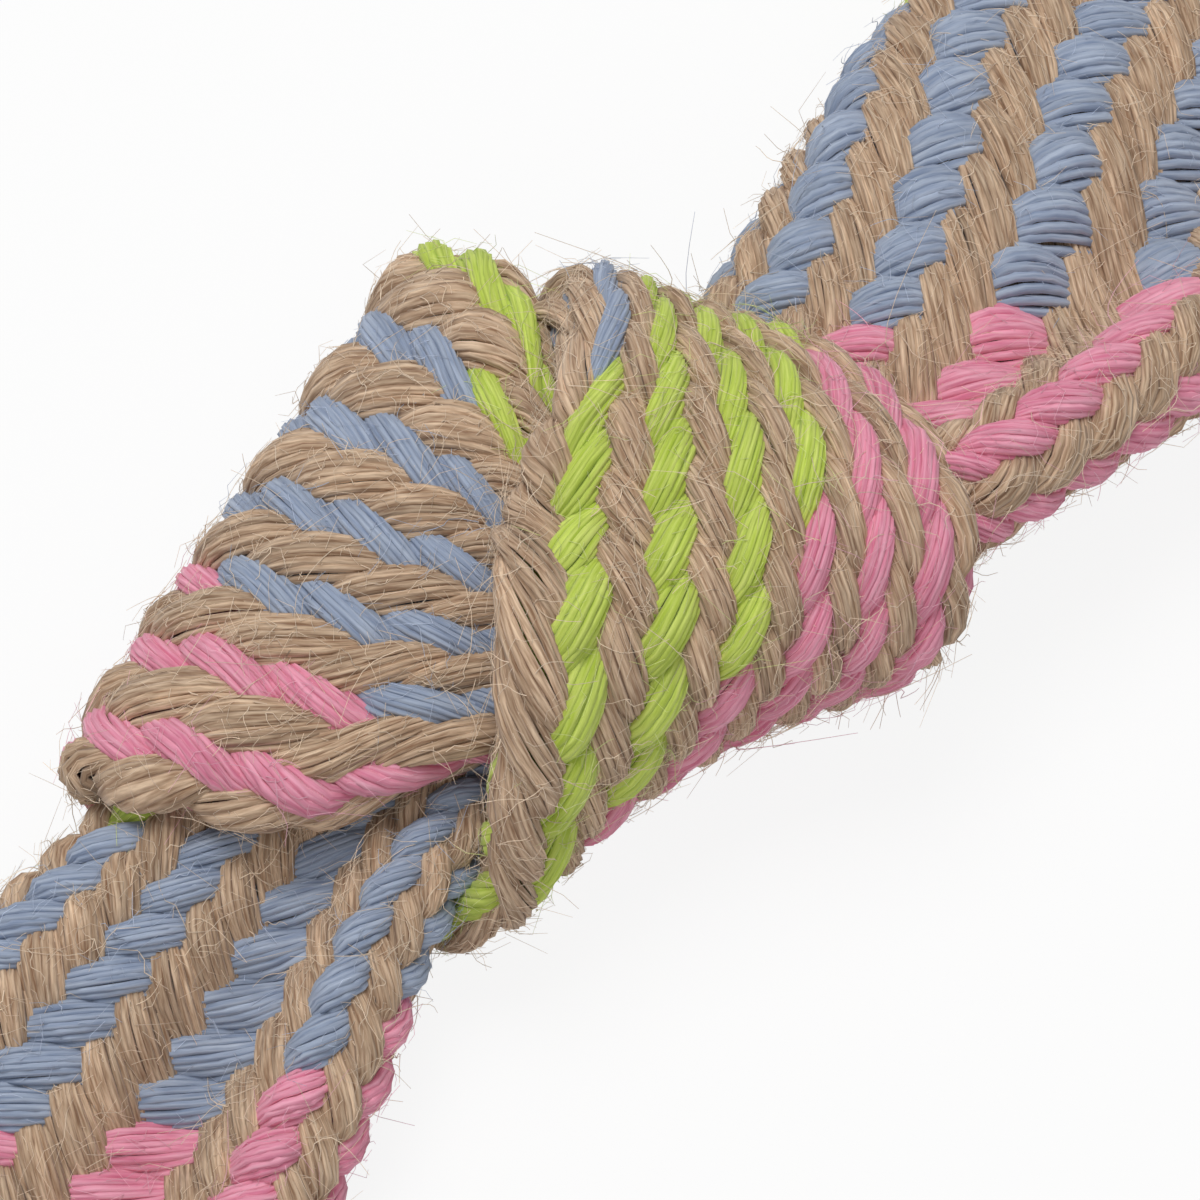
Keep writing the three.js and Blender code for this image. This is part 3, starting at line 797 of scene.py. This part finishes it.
# %% Tassels
TASSEL_LENGTH = 0.050
TASSEL_WIDTH = 0.054
TASSEL_HEIGHT = 0.0105
TASSEL_RINGS = 34
TASSEL_ROOT = TASSEL - 0.25   # the loose yarns start just inside the end of the braid
TASSEL_MIDDLE = 0.0074        # height of its middle at the tip
TASSEL_YARN = 0.00046         # radius of a loose yarn
TASSEL_YARN_TIP = 0.3         # of that radius
YARN_LENGTHS = (0.86, 0.985)  # of the tassel's length, least and most
FAN_WIDTHS = (0.86, 1.0)      # of the tassel's width, least and most
SHUFFLE = 0.004               # how far the yarns change places across the tassel
TIP_TURN = 0.16               # how much the tips differ in their direction to the side
TIP_FALL, TIP_FALL_SPREAD = -0.05, 0.08
CRIMP = 0.00036               # height of the waves left by the braid
CRIMP_LENGTH = 0.007
CRIMP_PACE = (0.75, 1.3)      # least and most waves of a yarn, over the usual number
CRIMP_GROWTH = 5              # the waves have their full height after a fifth of the yarn
CRIMP_UP_PACE = 1.13          # waves up and down over waves from side to side
SWAY = 0.0016                 # height of each yarn's own slow bend
# first and last share of the width | lowest and highest share of the height
LOCKS = {
    "hemp": (0, 1, 0, 0.5),
    "blue": (0, 1 / 3, 0.5, 1),
    "green": (1 / 3, 2 / 3, 0.5, 1),
    "pink": (2 / 3, 1, 0.5, 1),
}


def tassel_lock(end, colour):
    """The loose yarns of one colour past one whipping, drawn at the end at -X and turned for the other."""
    yarn = strands[colour]
    flip = np.ones(3) if end == "a" else HALF_TURN
    cut = np.searchsorted(rings, station_distance(TASSEL_ROOT, end))
    root = yarn["centres"][:, cut] * flip
    count = len(root)
    left, right, low, high = LOCKS[colour]
    axis = ROUTE[TASSEL, CENTRE]
    order = np.argsort(np.argsort(root[:, 1] + rng.normal(0, SHUFFLE, count)))
    share = left + (right - left) * (order + 0.5) / count
    length = TASSEL_LENGTH * rng.uniform(*YARN_LENGTHS, count)
    tip = np.stack([
        axis[0] - length,
        axis[1] + (share - 0.5) * TASSEL_WIDTH * rng.uniform(*FAN_WIDTHS, count),
        TASSEL_MIDDLE + (rng.uniform(low, high, count) - 0.5) * TASSEL_HEIGHT,
    ], axis=-1)
    reach = (root[:, 0] - tip[:, 0])[:, None, None]
    t = np.linspace(0, 1, TASSEL_RINGS)[None, :, None]
    leave = np.array([-1.0, 0, 0]) * reach
    arrive = np.stack([
        -np.ones(count),
        rng.normal(0, TIP_TURN, count),
        rng.normal(TIP_FALL, TIP_FALL_SPREAD, count),
    ], axis=-1)
    centres = (root[:, None] * (2 * t ** 3 - 3 * t ** 2 + 1) + leave * (t ** 3 - 2 * t ** 2 + t)
               + tip[:, None] * (3 * t ** 2 - 2 * t ** 3) + arrive[:, None] * reach * (t ** 3 - t ** 2))
    phase = rng.uniform(0, 2 * np.pi, (2, count, 1))
    pace = rng.uniform(*CRIMP_PACE, (count, 1))
    waves = 2 * np.pi * t[..., 0] * reach[..., 0] / CRIMP_LENGTH * pace
    grown = np.minimum(1, t[..., 0] * CRIMP_GROWTH)
    sway = SWAY * rng.normal(0, 1, (count, 1)) * np.sin(np.pi * t[..., 0]) ** 2
    centres[..., 1] += grown * CRIMP * np.sin(waves + phase[0]) + sway
    centres[..., 2] += grown * CRIMP * np.sin(waves * CRIMP_UP_PACE + phase[1])
    centres[..., 2] = np.maximum(centres[..., 2], LOWEST_YARN)
    centres = centres * flip
    runs = unit(np.gradient(centres, axis=1))
    sideways = unit(np.cross(np.array([0, 0, 1.0]), runs))
    radius = np.full(centres.shape[:2], TASSEL_YARN)
    radius[:, -1] *= TASSEL_YARN_TIP
    piece = tubes(f"tassel_{end}_{colour}_yarns", centres, sideways, np.cross(runs, sideways), radius, radius,
                  yarn["tint"])
    dress(piece, colour)
    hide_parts(f"tassel_{end}_{colour}")
    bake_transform(piece)
    return count


for end in "ab":
    print("tassel", end, {colour: tassel_lock(end, colour) for colour in LOCKS})

# %% [markdown]
# ## The white sheet
#
# The toy lies on a white sheet, as catalogue pictures have it. A white floor would light the toy from below,
# so the sheet is pale and shows most of its white only to the camera: a light path node tells the rays of the
# camera from the others. The toy's shadow stays.

# %% The white sheet
SHEET_HALF = 3.0
SHEET_PALENESS = 0.86
SHEET_GLOW = 0.88         # how much of what the camera sees is plain white


def studio_sheet():
    """A pale floor that is almost white to the camera and still takes the toy's shadow."""
    half = SHEET_HALF
    corners = np.array([(-half, -half, 0), (half, -half, 0), (half, half, 0), (-half, half, 0)])
    mesh = bpy.data.meshes.new("floor")
    mesh.from_pydata(corners.tolist(), [], [(0, 1, 2, 3)])
    sheet = bpy.data.objects.new("floor", mesh)
    bpy.context.collection.objects.link(sheet)
    material = bpy.data.materials.new("white sheet")
    material.use_nodes = True
    nodes = material.node_tree.nodes
    link = material.node_tree.links.new
    shader = nodes["Principled BSDF"]
    shader.inputs["Base Color"].default_value = (SHEET_PALENESS, SHEET_PALENESS, SHEET_PALENESS, 1)
    shader.inputs["Roughness"].default_value = 1
    shader.inputs["Specular IOR Level"].default_value = 0
    glow = nodes.new("ShaderNodeEmission")
    glow.inputs["Strength"].default_value = 1
    ray = nodes.new("ShaderNodeLightPath")
    seen = nodes.new("ShaderNodeMath")
    seen.operation = "MULTIPLY"
    seen.inputs[1].default_value = SHEET_GLOW
    link(ray.outputs["Is Camera Ray"], seen.inputs[0])
    mixed = nodes.new("ShaderNodeMixShader")
    link(seen.outputs["Value"], mixed.inputs["Fac"])
    link(shader.outputs["BSDF"], mixed.inputs[1])
    link(glow.outputs["Emission"], mixed.inputs[2])
    link(mixed.outputs["Shader"], nodes["Material Output"].inputs["Surface"])
    mesh.materials.append(material)


studio_sheet()
print("sheet", 2 * SHEET_HALF, "m wide")

# %% [markdown]
# ## Light and camera
#
# One soft area lamp stands above the knot, a weak one at the side, and an even white world fills the shadows.
# The camera looks down on one knot from the side, at the angle of the photograph, through a long lens.

# %% Light and camera
KNOT = Vector((-0.110, 0.0094, 0.0158))
CAMERA_PLACE = Vector((-0.2359, -0.0850, 0.4052))
CAMERA_LENS = 151.2       # lens and sensor are in millimetres, as on a real camera
CAMERA_SENSOR = 36
CAMERA_NEAREST = 0.01
WORLD_LIGHT = 0.38
# place | size in metres | watts
LAMPS = {
    "lamp over the knot": ((0.15, 0.35, 1.1), 0.6, 8),
    "lamp at the side": ((-0.9, -0.3, 0.7), 0.6, 1.4),
}


def look_at_knot(place):
    """The rotation of a lamp or camera at this place that points it at the knot."""
    return (KNOT - Vector(place)).to_track_quat("-Z", "Y").to_euler()


for name, (place, size, watts) in LAMPS.items():
    lamp = bpy.data.lights.new(name, "AREA")
    lamp.size = size
    lamp.energy = watts
    holder = bpy.data.objects.new(name, lamp)
    holder.location = place
    holder.rotation_euler = look_at_knot(place)
    bpy.context.collection.objects.link(holder)

world = bpy.data.worlds.new("studio")
bpy.context.scene.world = world
world.use_nodes = True
world.node_tree.nodes["Background"].inputs["Color"].default_value = (1, 1, 1, 1)
world.node_tree.nodes["Background"].inputs["Strength"].default_value = WORLD_LIGHT

camera = bpy.data.objects.new("camera", bpy.data.cameras.new("camera"))
camera.data.lens = CAMERA_LENS
camera.data.sensor_width = CAMERA_SENSOR
camera.data.clip_start = CAMERA_NEAREST
camera.location = CAMERA_PLACE
camera.rotation_euler = look_at_knot(CAMERA_PLACE)
bpy.context.collection.objects.link(camera)
bpy.context.scene.camera = camera
bpy.context.scene.view_settings.view_transform = "Standard"
print("camera at", tuple(round(c, 3) for c in camera.location), "lens", CAMERA_LENS)
